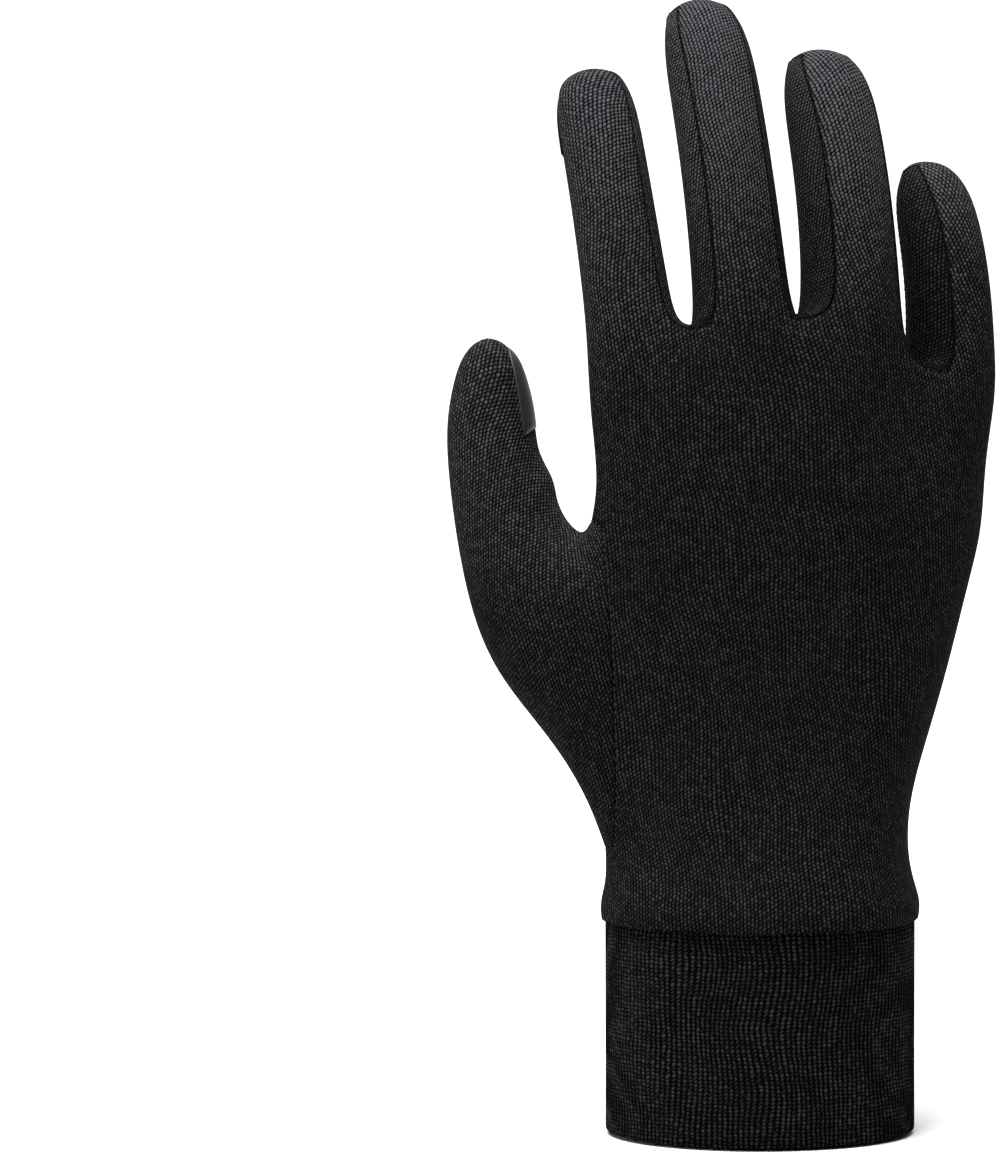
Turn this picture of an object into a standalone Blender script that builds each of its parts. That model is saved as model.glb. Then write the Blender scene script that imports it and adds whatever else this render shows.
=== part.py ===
"""A touch-screen glove liner for the right hand, in the round form that a worn glove has.

The fingers point up along +Z, the back of the hand faces -Y and the thumb is at -X. The origin is the
centre of the cuff's mouth. One smooth skin is subdivided from a coarse cage. It is then cut along the seams
into the pieces that such a glove is sewn from, and each piece gets the thickness of its cloth, inwards.
"""

import math

import bmesh
import bpy
from mathutils import Matrix, Vector

# The knitted cuff
CUFF_HEIGHT = 0.0517
CUFF_WIDTH = 0.0743
CUFF_DEPTH = 0.0530
CUFF_WALL = 0.0020
CUFF_TUCK = 0.0062
CUFF_COLUMNS = 48

# The hem of the hand, whose lip stands out over the cuff
HEM_LIP = 0.00088
HEM_LIP_HEIGHT = 0.0045

# The hand of the glove, from its hem to the roots of the fingers
PALM_LENGTH = 0.1420
PALM_WIDTH = 0.0920
PALM_THICKNESS = 0.0300
CLOTH = 0.0011
SEAM_GAP = 0.0003

# The fingers
INDEX_LENGTH = 0.0698
INDEX_WIDTH = 0.0203
MIDDLE_LENGTH = 0.0871
MIDDLE_WIDTH = 0.0225
RING_LENGTH = 0.0746
RING_WIDTH = 0.0236
LITTLE_LENGTH = 0.0592
LITTLE_WIDTH = 0.0213
FINGER_DEPTH_SHARE = 0.98
CURL_START_ANGLE = 6.0
CURL_ANGLE = 30.0

# The touch pads and the pull tab
PAD_THICKNESS = 0.0006
PAD_GAP = 0.0003
PAD_INSET = 0.0005
TAB_WIDTH = 0.0127
TAB_LENGTH = 0.0205
TAB_THICKNESS = 0.0010
TAB_GAP = 0.0003
TAB_ANGLE = 132.0
TAB_STEPS = 6

# Corners of a finger's ring, going round from the thumb side of its back
BACK_START, BACK_MID, BACK_END, FAR_SIDE, PALM_END, PALM_MID, PALM_START, NEAR_SIDE = range(8)

# One row for each finger. Across and deep place the middle of its root: shares of the palm's width and
# thickness from the cuff's axis. Drop is a share of the palm's length, down from the knuckle line. Lean is
# to the far side, twist turns its back to the far side, and slope raises the far side of its root: degrees.
FINGERS = (
    # name      length          width         across  deep    drop    lean   twist  slope
    ("index", INDEX_LENGTH, INDEX_WIDTH, -0.330, -0.270, 0.014, -6.7, 8.0, 4.0),
    ("middle", MIDDLE_LENGTH, MIDDLE_WIDTH, -0.041, -0.130, 0.010, -2.7, 15.0, 0.0),
    ("ring", RING_LENGTH, RING_WIDTH, 0.238, 0.100, 0.022, 2.6, 26.0, -30.0),
    ("little", LITTLE_LENGTH, LITTLE_WIDTH, 0.495, 0.560, 0.122, 8.8, 46.0, -24.0),
)

# Rings of a finger. Along is a share of its length, and wide and deep are shares of its width. Seam is the
# angle of the seams from the middle of its back and of its palm, in degrees. Tilt is a share of the root's.
FINGER_ROWS = (
    # along  wide   deep   seam   tilt
    (0.00, 1.10, 1.16, 42.0, 1.0),
    (0.15, 1.05, 1.04, 42.0, 0.5),
    (0.33, 1.02, 1.00, 42.0, 0.1),
    (0.50, 1.00, 0.98, 43.0, 0.0),
    (0.67, 0.98, 0.95, 45.0, 0.0),
    (0.83, 0.94, 0.89, 52.0, 0.0),
    (0.955, 0.67, 0.65, 74.0, 0.0),
)
FINGER_POINTS = 8
# Where the point that closes a finger stands, as a share of its length, and how far its root is tilted back
FINGER_CAP_SHARE = 1.022
ROOT_TILT_ANGLE = 16.0

# Rows of the palm under the roots of the fingers. Down is a share of the palm's length. Near and far are the
# thumb side and the far side, and start_back and start_palm where the first column stands: shares of the
# palm's width. Thick, mid, tilt, arch and heel are shares of its thickness. Power is how square the row is.
PALM_ROWS = (
    # down   near    far     thick  mid     tilt   arch   heel   power  start_back start_palm
    (0.12, -0.456, 0.606, 0.93, -0.030, 0.430, 0.270, 0.00, 2.60, 0.045, 0.045),
    (0.225, -0.432, 0.605, 0.98, -0.050, 0.370, 0.230, 0.02, 2.50, 0.045, 0.045),
    (0.32, -0.453, 0.565, 1.05, -0.060, 0.300, 0.180, 0.06, 2.40, 0.035, 0.060),
    (0.48, -0.435, 0.515, 1.12, -0.060, 0.220, 0.130, 0.10, 2.35, 0.060, 0.205),
    (0.635, -0.424, 0.455, 1.22, -0.050, 0.140, 0.080, 0.12, 2.30, 0.060, 0.185),
    (0.77, -0.381, 0.396, 1.36, -0.030, 0.070, 0.040, 0.09, 2.25, 0.030, 0.110),
    (0.90, -0.386, 0.398, 1.66, 0.000, 0.020, 0.010, 0.04, 2.15, 0.030, 0.050),
)
# Columns of cage points round the palm: twelve on its back, one at the far edge, twelve on the palm side and
# one at the near edge. The last back column stands this share of the width before the far edge.
FACE_COLUMNS = 12
PALM_COLUMNS = 2 * FACE_COLUMNS + 2
NEAR_COLUMN = PALM_COLUMNS - 1
FAR_INSET_SHARE = 0.045
# The rows between which the palm has its opening for the thumb
THUMB_TOP_ROW = 3
THUMB_FOOT_ROW = 7
# How much of the finger roots' places the first rows keep, from the roots down
ROOT_FADE = (1.0, 0.42, 0.12)

# Rings of the thumb. Outer and inner are the ring's two edges: shares of the palm's width across, and of its
# length up from the cuff. Deep is the ring's depth, and forward how far its middle stands out to the palm
# side: shares of the palm's thickness. Spread is how much of the pad's spread its points have.
THUMB_ROWS = (
    # outer_x  outer_up  inner_x  inner_up  deep   forward  spread
    (-0.505, 0.287, -0.472, 0.648, 1.22, 0.10, 0.25),
    (-0.707, 0.404, -0.510, 0.680, 1.08, 0.22, 0.50),
    (-0.780, 0.566, -0.543, 0.735, 0.92, 0.34, 0.75),
    (-0.820, 0.762, -0.586, 0.828, 0.78, 0.46, 1.00),
    (-0.822, 0.850, -0.597, 0.883, 0.70, 0.52, 1.00),
    (-0.783, 0.949, -0.640, 0.956, 0.50, 0.58, 1.00),
)
THUMB_POINTS = 12
# The point that closes the thumb, across, up and forward, in the same shares
THUMB_CAP = (-0.707, 1.000, 0.62)
# How far a ring's points are turned away from the pad's middle, in degrees, to make the pad wide
PAD_SPREAD_ANGLE = 19.0

# Pieces of the skin, as the material numbers of the cage's faces, and the ring where a pad starts
PIECES = ("trank", "thumb", "fourchette_index_middle", "fourchette_middle_ring", "fourchette_ring_little")
TRANK, THUMB, FOURCHETTES = 0, 1, (2, 3, 4)
INDEX_PAD, THUMB_PAD = 5, 6
PAD_ROW = 4


def cage_radius(radius, count):
    """The radius of a cage ring of so many points whose subdivided ring has this radius."""
    return radius * 3.0 / (2.0 + math.cos(math.tau / count))


def finger_frame(lean, twist):
    """The directions of a finger at its root: along it, and out of its back."""
    along = Vector((math.sin(math.radians(lean)), 0.0, math.cos(math.radians(lean))))
    back = Vector((math.sin(math.radians(twist)), -math.cos(math.radians(twist)), 0.0))
    back = (back - along * back.dot(along)).normalized()
    return along, back


def finger_point(root, length, frame, share):
    """A point of a finger's centreline, with the directions along it and out of its back there."""
    along, back = frame
    start, turn = math.radians(CURL_START_ANGLE), math.radians(CURL_ANGLE)
    now = start + turn * share
    straight = (math.sin(now) - math.sin(start)) / turn
    curled = (math.cos(start) - math.cos(now)) / turn
    point = root + length * (along * straight - back * curled)
    return point, along * math.cos(now) - back * math.sin(now), back * math.cos(now) + along * math.sin(now)


def finger_ring(point, along, back, width, depth, seam, tilt, slope):
    """The eight cage points of a finger's ring, as the corners are numbered above."""
    half_wide, half_deep = cage_radius(width / 2, FINGER_POINTS), cage_radius(depth / 2, FINGER_POINTS)
    across = along.cross(back) + along * math.tan(math.radians(slope))
    back_raised = back + along * math.tan(math.radians(tilt))
    turns = (-seam, 0.0, seam, 90.0, 180.0 - seam, 180.0, 180.0 + seam, 270.0)
    return [
        point
        + across * half_wide * math.sin(math.radians(turn))
        + back_raised * half_deep * math.cos(math.radians(turn))
        for turn in turns
    ]


def finger_rings(row):
    """A finger's rings from root to tip, and the point that closes its tip."""
    _, length, width, across, deep, drop, lean, twist, slope = row
    knuckles = CUFF_HEIGHT + PALM_LENGTH
    root = Vector((across * PALM_WIDTH, deep * PALM_THICKNESS, knuckles - drop * PALM_LENGTH))
    frame = finger_frame(lean, twist)
    rings = []
    for share, wide, thick, seam, tilt in FINGER_ROWS:
        point, along, back = finger_point(root, length, frame, share)
        wide, thick = wide * width, thick * FINGER_DEPTH_SHARE * width
        tip = tilt * ROOT_TILT_ANGLE
        rings.append(finger_ring(point, along, back, wide, thick, seam, tip, tilt * slope))
    return rings, finger_point(root, length, frame, FINGER_CAP_SHARE)[0]


def palm_row_point(row, share, side):
    """A point of a palm row: share runs from the thumb side over; side is -1 back, 1 palm, 0 edge."""
    _, near, far, thick, mid, tilt, arch, heel, power, _, _ = row
    place = 2.0 * share - 1.0
    swell = (1.0 - abs(place) ** power) ** (1.0 / power)
    deep = mid + tilt * place + arch * (place * place - 1.0 / 3.0) + side * swell * thick / 2
    if side > 0:
        deep += heel * math.cos(math.tau * share) * swell
    return Vector(((near + (far - near) * share) * PALM_WIDTH, deep * PALM_THICKNESS, 0.0))


def palm_columns(row):
    """The points of a palm row at no height, going round from the back of the index finger."""
    start_back, start_palm = row[-2], row[-1]
    end = 1.0 - FAR_INSET_SHARE
    steps = [j / (FACE_COLUMNS - 1) for j in range(FACE_COLUMNS)]
    back = [palm_row_point(row, start_back + (end - start_back) * step, -1) for step in steps]
    palm = [palm_row_point(row, end + (start_palm - end) * step, 1) for step in steps]
    return back + [palm_row_point(row, 1.0, 0)] + palm + [palm_row_point(row, 0.0, 0)]


def hem_columns(grow, count):
    """Points round the cuff's oval outline, made larger by grow, from the thumb side round by the back."""
    half_wide, half_deep = CUFF_WIDTH / 2 + grow, CUFF_DEPTH / 2 + grow
    turns = [math.pi + math.tau * (j + 1) / count for j in range(count)]
    return [Vector((half_wide * math.cos(a), half_deep * math.sin(a), 0.0)) for a in turns]


def quad(bm, verts, piece):
    bm.faces.new(verts).material_index = piece


def add_finger(bm, row, number):
    """One finger of the cage. It returns the cage points of its root ring."""
    rings, tip = finger_rings(row)
    rings = [[bm.verts.new(point) for point in ring] for ring in rings]
    near = FOURCHETTES[number - 1] if number > 0 else TRANK
    far = FOURCHETTES[number] if number < 3 else TRANK
    sides = (TRANK, TRANK, far, far, TRANK, TRANK, near, near)
    padded = (PALM_END, PALM_MID, PALM_START) if number == 0 else ()
    for level in range(len(rings) - 1):
        low, high = rings[level], rings[level + 1]
        for k in range(FINGER_POINTS):
            n = (k + 1) % FINGER_POINTS
            piece = INDEX_PAD if k in padded and level >= PAD_ROW else sides[k]
            quad(bm, (low[k], low[n], high[n], high[k]), piece)
    top, centre = rings[-1], bm.verts.new(tip)
    for k in range(0, FINGER_POINTS, 2):
        piece = INDEX_PAD if k == PALM_END and number == 0 else TRANK
        quad(bm, (top[k], top[k + 1], top[(k + 2) % FINGER_POINTS], centre), piece)
    return rings[0]


def add_crotch(bm, left, right, piece):
    """The foot of the strip between two fingers, from one root ring to the next."""
    quad(bm, (left[BACK_END], right[BACK_START], right[NEAR_SIDE], left[FAR_SIDE]), piece)
    quad(bm, (left[FAR_SIDE], right[NEAR_SIDE], right[PALM_START], left[PALM_END]), piece)


def add_palm(bm, roots):
    """The palm and back of the cage, with the thumb's opening. It returns the rows of cage points."""
    back = [root[k] for root in roots for k in (BACK_START, BACK_MID, BACK_END)]
    palm = [root[k] for root in reversed(roots) for k in (PALM_END, PALM_MID, PALM_START)]
    top = back + [roots[3][FAR_SIDE]] + palm + [roots[0][NEAR_SIDE]]
    rows = [top]
    first = palm_columns(PALM_ROWS[0])
    for number, row in enumerate(PALM_ROWS, start=1):
        fade = ROOT_FADE[number] if number < len(ROOT_FADE) else 0.0
        points = []
        for j, flat in enumerate(palm_columns(row)):
            high = top[j].co
            offset = Vector((high.x - first[j].x, high.y - first[j].y, 0.0)) * fade
            up = CUFF_HEIGHT + (high.z - CUFF_HEIGHT) * (1.0 - row[0])
            points.append(flat + offset + Vector((0.0, 0.0, up)))
        rows.append(points)
    lip = hem_columns(SEAM_GAP + CLOTH + HEM_LIP, PALM_COLUMNS)
    hem = hem_columns(SEAM_GAP + CLOTH, PALM_COLUMNS)
    rows.append([p + Vector((0.0, 0.0, CUFF_HEIGHT + HEM_LIP_HEIGHT)) for p in lip])
    rows.append([p + Vector((0.0, 0.0, CUFF_HEIGHT)) for p in hem])
    inside = range(THUMB_TOP_ROW + 1, THUMB_FOOT_ROW)
    for number in range(1, len(rows)):
        rows[number] = [
            None if number in inside and j == NEAR_COLUMN else bm.verts.new(point)
            for j, point in enumerate(rows[number])
        ]
    for number in range(len(rows) - 1):
        high, low = rows[number], rows[number + 1]
        for j in range(PALM_COLUMNS):
            n = (j + 1) % PALM_COLUMNS
            if THUMB_TOP_ROW <= number < THUMB_FOOT_ROW and j >= NEAR_COLUMN - 1:
                continue
            quad(bm, (low[j], low[n], high[n], high[j]), TRANK)
    return rows


def add_thumb(bm, rows):
    """The thumb of the cage, from the opening in the palm to its tip."""
    back = [rows[number][0] for number in range(THUMB_TOP_ROW, THUMB_FOOT_ROW + 1)]
    palm = [rows[number][NEAR_COLUMN - 1] for number in range(THUMB_FOOT_ROW, THUMB_TOP_ROW - 1, -1)]
    rings = [[rows[THUMB_TOP_ROW][NEAR_COLUMN]] + back + [rows[THUMB_FOOT_ROW][NEAR_COLUMN]] + palm]
    step = math.tau / THUMB_POINTS
    for outer_x, outer_up, inner_x, inner_up, deep, forward, spread in THUMB_ROWS:
        outer = Vector((outer_x * PALM_WIDTH, 0.0, CUFF_HEIGHT + outer_up * PALM_LENGTH))
        inner = Vector((inner_x * PALM_WIDTH, 0.0, CUFF_HEIGHT + inner_up * PALM_LENGTH))
        centre = (outer + inner) / 2 + Vector((0.0, forward * PALM_THICKNESS, 0.0))
        reach = cage_radius(1.0, THUMB_POINTS) * (inner - outer) / 2
        back_way = Vector((0.0, -cage_radius(deep * PALM_THICKNESS / 2, THUMB_POINTS), 0.0))
        ring = []
        for k in range(THUMB_POINTS):
            turn = step * k + spread * math.radians(PAD_SPREAD_ANGLE) * math.sin(step * (k + 1))
            ring.append(bm.verts.new(centre + reach * math.cos(turn) + back_way * math.sin(turn)))
        rings.append(ring)
    padded = (9, 10, 11, 0)
    for level in range(len(rings) - 1):
        low, high = rings[level], rings[level + 1]
        for k in range(THUMB_POINTS):
            n = (k + 1) % THUMB_POINTS
            piece = THUMB_PAD if k in padded and level >= PAD_ROW else THUMB
            quad(bm, (low[n], low[k], high[k], high[n]), piece)
    tip_x, tip_up, tip_forward = THUMB_CAP
    tip = Vector((tip_x * PALM_WIDTH, tip_forward * PALM_THICKNESS, CUFF_HEIGHT + tip_up * PALM_LENGTH))
    top, centre = rings[-1], bm.verts.new(tip)
    for k in range(1, THUMB_POINTS, 2):
        piece = THUMB_PAD if k in padded else THUMB
        quad(bm, (top[(k + 2) % THUMB_POINTS], top[(k + 1) % THUMB_POINTS], top[k], centre), piece)


def glove_skin():
    """The outer skin of the whole glove above the cuff, subdivided once from its cage, as a mesh."""
    bm = bmesh.new()
    roots = [add_finger(bm, row, number) for number, row in enumerate(FINGERS)]
    for number, piece in enumerate(FOURCHETTES):
        add_crotch(bm, roots[number], roots[number + 1], piece)
    add_thumb(bm, add_palm(bm, roots))
    cage = bpy.data.meshes.new("glove_cage")
    bm.to_mesh(cage)
    bm.free()
    holder = bpy.data.objects.new("glove_cage", cage)
    bpy.context.scene.collection.objects.link(holder)
    smoother = holder.modifiers.new("smooth", "SUBSURF")
    smoother.levels = smoother.render_levels = 1
    bpy.context.view_layer.update()
    skin = bpy.data.meshes.new_from_object(holder.evaluated_get(bpy.context.evaluated_depsgraph_get()))
    bpy.data.objects.remove(holder)
    return skin


def drawn_in(bm, gap):
    """How far each boundary point of a sheet moves into the sheet, so that its edge stands back by gap."""
    moves = {}
    for vert in bm.verts:
        rim = [edge for edge in vert.link_edges if edge.is_boundary]
        if not rim:
            continue
        ends = [edge.other_vert(vert).co for edge in rim]
        tangent = (ends[0] - ends[-1]).normalized()
        inward = sum((face.calc_center_median() - vert.co for face in vert.link_faces), Vector())
        inward -= tangent * inward.dot(tangent)
        moves[vert.index] = inward.normalized() * gap
    return moves


def cloth_piece(name, skin, pieces, collection, outside=0.0, thickness=CLOTH, gap=SEAM_GAP / 2, hem=False):
    """One sewn piece: the skin's faces of these numbers, with the cloth's thickness inwards."""
    bm = bmesh.new()
    bm.from_mesh(skin)
    bm.normal_update()
    normals = {vert.index: vert.normal.copy() for vert in bm.verts}
    source = bm.verts.layers.int.new("source")
    for vert in bm.verts:
        vert[source] = vert.index
    others = [face for face in bm.faces if face.material_index not in pieces]
    bmesh.ops.delete(bm, geom=others, context="FACES")
    bm.verts.index_update()
    moves = drawn_in(bm, gap)
    outer, inner = [], []
    made = bmesh.new()
    for vert in bm.verts:
        normal = normals[vert[source]]
        at = vert.co + moves.get(vert.index, Vector())
        if hem and abs(vert.co.z - CUFF_HEIGHT) < 1e-5:
            at = vert.co.copy()
        outer.append(made.verts.new(at + normal * outside))
        inner.append(made.verts.new(at + normal * (outside - thickness)))
    for face in bm.faces:
        ring = [vert.index for vert in face.verts]
        made.faces.new([outer[i] for i in ring])
        made.faces.new([inner[i] for i in reversed(ring)])
    for edge in bm.edges:
        if edge.is_boundary:
            loop = edge.link_loops[0]
            a, b = loop.vert.index, loop.link_loop_next.vert.index
            made.faces.new((outer[b], outer[a], inner[a], inner[b]))
    bm.free()
    mesh = bpy.data.meshes.new(name)
    made.to_mesh(mesh)
    made.free()
    mesh.shade_smooth()
    obj = bpy.data.objects.new(name, mesh)
    collection.objects.link(obj)
    return obj


def material(name, colour, roughness):
    made = bpy.data.materials.new(name)
    made.use_nodes = True
    shader = made.node_tree.nodes["Principled BSDF"]
    shader.inputs["Base Color"].default_value = (*colour, 1.0)
    shader.inputs["Roughness"].default_value = roughness
    return made


def make_cuff(collection):
    """The knitted cuff: an oval tube with a folded foot, whose top is tucked under the hem of the hand."""
    neck = SEAM_GAP + CLOTH
    fold = CUFF_WALL / 2
    corner = fold * 0.3
    profile = (
        (-neck - CUFF_WALL, CUFF_HEIGHT + CUFF_TUCK),
        (-neck, CUFF_HEIGHT + CUFF_TUCK),
        (-neck, CUFF_HEIGHT + fold),
        (0.0, CUFF_HEIGHT - SEAM_GAP - fold / 2),
        (0.0, fold),
        (-corner, corner),
        (-fold, 0.0),
        (-CUFF_WALL + corner, corner),
        (-CUFF_WALL, fold),
        (-CUFF_WALL, CUFF_HEIGHT - SEAM_GAP - fold / 2),
        (-neck - CUFF_WALL, CUFF_HEIGHT + fold),
    )
    bm = bmesh.new()
    loops = []
    for grow, up in profile:
        loops.append([bm.verts.new(p + Vector((0.0, 0.0, up))) for p in hem_columns(grow, CUFF_COLUMNS)])
    for number, loop in enumerate(loops):
        after = loops[(number + 1) % len(loops)]
        for j in range(CUFF_COLUMNS):
            n = (j + 1) % CUFF_COLUMNS
            bm.faces.new((after[j], after[n], loop[n], loop[j]))
    mesh = bpy.data.meshes.new("cuff")
    bm.to_mesh(mesh)
    bm.free()
    cuff = bpy.data.objects.new("cuff", mesh)
    collection.objects.link(cuff)
    return cuff


def make_tab(collection):
    """The pull tab: a plate that follows the cuff from under the hem down, with a round end."""
    half, straight = TAB_WIDTH / 2, TAB_LENGTH - TAB_WIDTH / 2
    rows = [(0.0, half), (straight / 2, half), (straight, half)]
    for turn in (25.0, 48.0, 68.0, 84.0):
        rows.append((straight + half * math.sin(math.radians(turn)), half * math.cos(math.radians(turn))))
    middle = math.radians(TAB_ANGLE)
    half_wide, half_deep = CUFF_WIDTH / 2 + TAB_GAP, CUFF_DEPTH / 2 + TAB_GAP
    radius = math.hypot(half_wide * math.sin(middle), half_deep * math.cos(middle))
    bm = bmesh.new()
    sheets = []
    for lift in (TAB_THICKNESS, 0.0):
        sheet = []
        for down, reach in rows:
            up = CUFF_HEIGHT - TAB_GAP - down
            line = []
            for step in range(TAB_STEPS + 1):
                turn = middle - reach * (2.0 * step / TAB_STEPS - 1.0) / radius
                at = Vector((half_wide * math.cos(turn), half_deep * math.sin(turn), up))
                out = Vector((math.cos(turn) / half_wide, math.sin(turn) / half_deep, 0.0)).normalized()
                line.append(bm.verts.new(at + out * lift))
            sheet.append(line)
        sheets.append(sheet)
    outer, inner = sheets
    for i in range(len(rows) - 1):
        for j in range(TAB_STEPS):
            bm.faces.new((outer[i][j], outer[i][j + 1], outer[i + 1][j + 1], outer[i + 1][j]))
            bm.faces.new((inner[i + 1][j], inner[i + 1][j + 1], inner[i][j + 1], inner[i][j]))
        bm.faces.new((outer[i][0], outer[i + 1][0], inner[i + 1][0], inner[i][0]))
        bm.faces.new((outer[i + 1][-1], outer[i][-1], inner[i][-1], inner[i + 1][-1]))
    for j in range(TAB_STEPS):
        bm.faces.new((outer[0][j + 1], outer[0][j], inner[0][j], inner[0][j + 1]))
        bm.faces.new((outer[-1][j], outer[-1][j + 1], inner[-1][j + 1], inner[-1][j]))
    bmesh.ops.recalc_face_normals(bm, faces=bm.faces[:])
    mesh = bpy.data.meshes.new("pull_tab")
    bm.to_mesh(mesh)
    bm.free()
    tab = bpy.data.objects.new("pull_tab", mesh)
    collection.objects.link(tab)
    return tab


def main():
    for obj in list(bpy.data.objects):
        bpy.data.objects.remove(obj)
    collection = bpy.data.collections.new("glove_liner")
    bpy.context.scene.collection.children.link(collection)
    skin = glove_skin()
    knit = material("knit", (0.012, 0.012, 0.014), 0.9)
    rib_knit = material("rib_knit", (0.010, 0.010, 0.011), 0.9)
    film = material("touch_film", (0.035, 0.035, 0.038), 0.4)
    matte = material("tab", (0.012, 0.012, 0.013), 0.55)
    under = {TRANK: (TRANK, INDEX_PAD), THUMB: (THUMB, THUMB_PAD)}
    for number, name in enumerate(PIECES):
        piece = cloth_piece(name, skin, under.get(number, (number,)), collection, hem=number == TRANK)
        piece.data.materials.append(knit)
    lift = PAD_GAP + PAD_THICKNESS
    for name, number in (("touch_pad_index", INDEX_PAD), ("touch_pad_thumb", THUMB_PAD)):
        pad = cloth_piece(name, skin, (number,), collection, lift, PAD_THICKNESS, PAD_INSET)
        pad.data.materials.append(film)
    make_cuff(collection).data.materials.append(rib_knit)
    make_tab(collection).data.materials.append(matte)
    bpy.data.meshes.remove(skin)


main()
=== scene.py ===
"""A knitted touch-screen glove liner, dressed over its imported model."""

import math

import bmesh
import bpy
from bpy.props import FloatProperty, FloatVectorProperty, IntProperty, PointerProperty
from mathutils import Matrix, Vector
from mathutils.bvhtree import BVHTree


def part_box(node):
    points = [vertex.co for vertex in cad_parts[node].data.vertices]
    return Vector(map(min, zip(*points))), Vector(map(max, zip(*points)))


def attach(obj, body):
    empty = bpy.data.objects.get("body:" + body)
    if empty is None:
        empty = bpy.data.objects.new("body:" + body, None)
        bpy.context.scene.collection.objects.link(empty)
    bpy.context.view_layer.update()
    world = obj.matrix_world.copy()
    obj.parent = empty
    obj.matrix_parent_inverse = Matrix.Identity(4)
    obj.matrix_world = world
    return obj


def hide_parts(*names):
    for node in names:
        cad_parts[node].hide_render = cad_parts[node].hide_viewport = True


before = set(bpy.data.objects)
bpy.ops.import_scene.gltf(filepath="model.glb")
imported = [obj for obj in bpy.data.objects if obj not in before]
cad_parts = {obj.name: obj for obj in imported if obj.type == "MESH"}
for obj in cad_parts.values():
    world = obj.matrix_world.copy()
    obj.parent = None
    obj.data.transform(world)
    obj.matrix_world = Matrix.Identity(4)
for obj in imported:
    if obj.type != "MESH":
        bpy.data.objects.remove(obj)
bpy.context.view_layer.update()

bl_info = {
    "name": "Glove Liner",
    "version": (1, 0, 0),
    "blender": (4, 5, 0),
    "location": "View3D > Sidebar > Glove",
    "description": "Makes the visible pieces of a knitted glove liner",
    "category": "Object",
}

BODY = "root"
PANELS = ("trank", "thumb", "fourchette_index_middle", "fourchette_middle_ring", "fourchette_ring_little")
# How light the stitches of a strip are painted beside the rest: painted shade, where a finger keeps the one
# next to it in the shade
STRIP_PAINTED_SHADE = {"fourchette_index_middle": 0.85, "fourchette_middle_ring": 0.55, "fourchette_ring_little": 0.45}
CUFF_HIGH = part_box("cuff")[1]
HEM_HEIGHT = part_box("trank")[0][2]

# Where each finger's back is turned to, in degrees: the x of the gap before it at two heights, and its turn
FINGER_TURNS = ((-0.200, -0.200, 8.0), (-0.017, -0.026, 15.0), (0.009, -0.001, 26.0), (0.036, 0.026, 46.0))
GAP_HEIGHTS = (0.190, 0.255)
# The height from which the hand turns, and how much further up it's turned in full
TURN_START, TURN_LENGTH = 0.060, 0.120
# Seams above this height are those at the fingers
FINGERS_FROM = GAP_HEIGHTS[0] - 0.030

# An edge is a rim where its faces turn by more than this
RIM_ANGLE = math.radians(55)
# How much of their sharpness rims keep when a piece is smoothed, and how often its faces are divided
RIM_CREASE, SMOOTHING = 0.6, 2

# Folds on the thumb's inner side: how far above the pad's foot, how long and how high each one is
FOLDS = ((0.0005, 0.0035, -0.0010), (-0.0055, 0.0050, 0.0012), (-0.0125, 0.0055, -0.0006))
FOLD_LENGTH = 0.014
# How high the hem's waves are, and how far above the hem they reach
HEM_WAVE = 0.00022
HEM_BAND = 0.003

# Where the knit is painted lighter up the fingers, a painted light for the light from above on the
# fingertips: from and up to which height, and how many times lighter
THUMB_PAINTED_LIGHT = (0.120, 0.165, 1.9)
INDEX_PAINTED_LIGHT = (0.150, 0.250, 2.8)
FINGER_PAINTED_LIGHT = (0.188, 0.265, 4.7)
# The x over which the index finger's painted light goes over into that of the other fingers
INDEX_SIDE = (-0.026, -0.016)

# How far the knit's columns lean on the back and on the palm, which are the parts with more faces than this
GRAIN_LEAN = math.radians(6.0)
LEANING_FACES = 400
# How far the map of each part is moved from the one before it, so that no two parts show the same stitches
PART_SHIFT = (0.01731, 0.00713)

# The cuff's double wall, how far it steps in where it's tucked under the hem, and the points around one rib
CUFF_WALL, CUFF_NECK = 0.0020, 0.0014
RIB_POINTS = 6

# The cord of folded cloth under a seam: its radius, its points' pitch, and how far out and down it lies
CORD_RADIUS, CORD_PITCH = 0.00055, 0.0012
CORD_OUT, CORD_DEPTH = 0.00015, 0.0009
THREADS = {"thumb": (0.030, 0.028, 0.031), "finger": (0.0035, 0.0035, 0.0040)}
# A stitch's length in pitches. It's flattened by the first share and sunk into the cloth by the second one
STITCH_LENGTH, STITCH_FLAT, STITCH_SUNK = 0.62, 0.8, 0.1

# How often a pad's border is evened and its faces are smoothed
PAD_EVENINGS, PAD_SMOOTHINGS = 10, 6
# How far its inner face and its rim stand out from the cloth, as shares of the rest
PAD_INNER, PAD_RIM = 0.3, 0.45

# The floor's half width, front, back, height, and the radius and top of the bend behind the glove
FLOOR_HALF, FLOOR_FRONT, FLOOR_BACK, FLOOR_DROP = 3.0, -1.3, 1.6, -0.0006
BEND_RADIUS, WALL_TOP = 0.9, 3.5
WORLD_LIGHT = 0.17
# Each lamp's name, place, the point it's aimed at, its size in metres and its power in watts
LAMPS = (
    ("top", (-0.25, -0.30, 1.75), (0.0, 0.0, 0.14), 0.7, 88.0),
    ("side", (-1.4, -0.7, 0.5), (0.0, 0.0, 0.14), 0.5, 8.0),
    ("wall", (0.0, 0.75, 1.9), (0.0, 2.2, 0.3), 2.0, 110.0),
)
# The camera's focal length in millimetres, its shifts, the height it looks at, its rise and its distance
LENS, SHIFT_X, SHIFT_Y = 196.1, -0.2257, 0.0035
LOOK_HEIGHT, LOOK_RISE, LOOK_DISTANCE = 0.133, math.radians(5.5), 1.5


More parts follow.
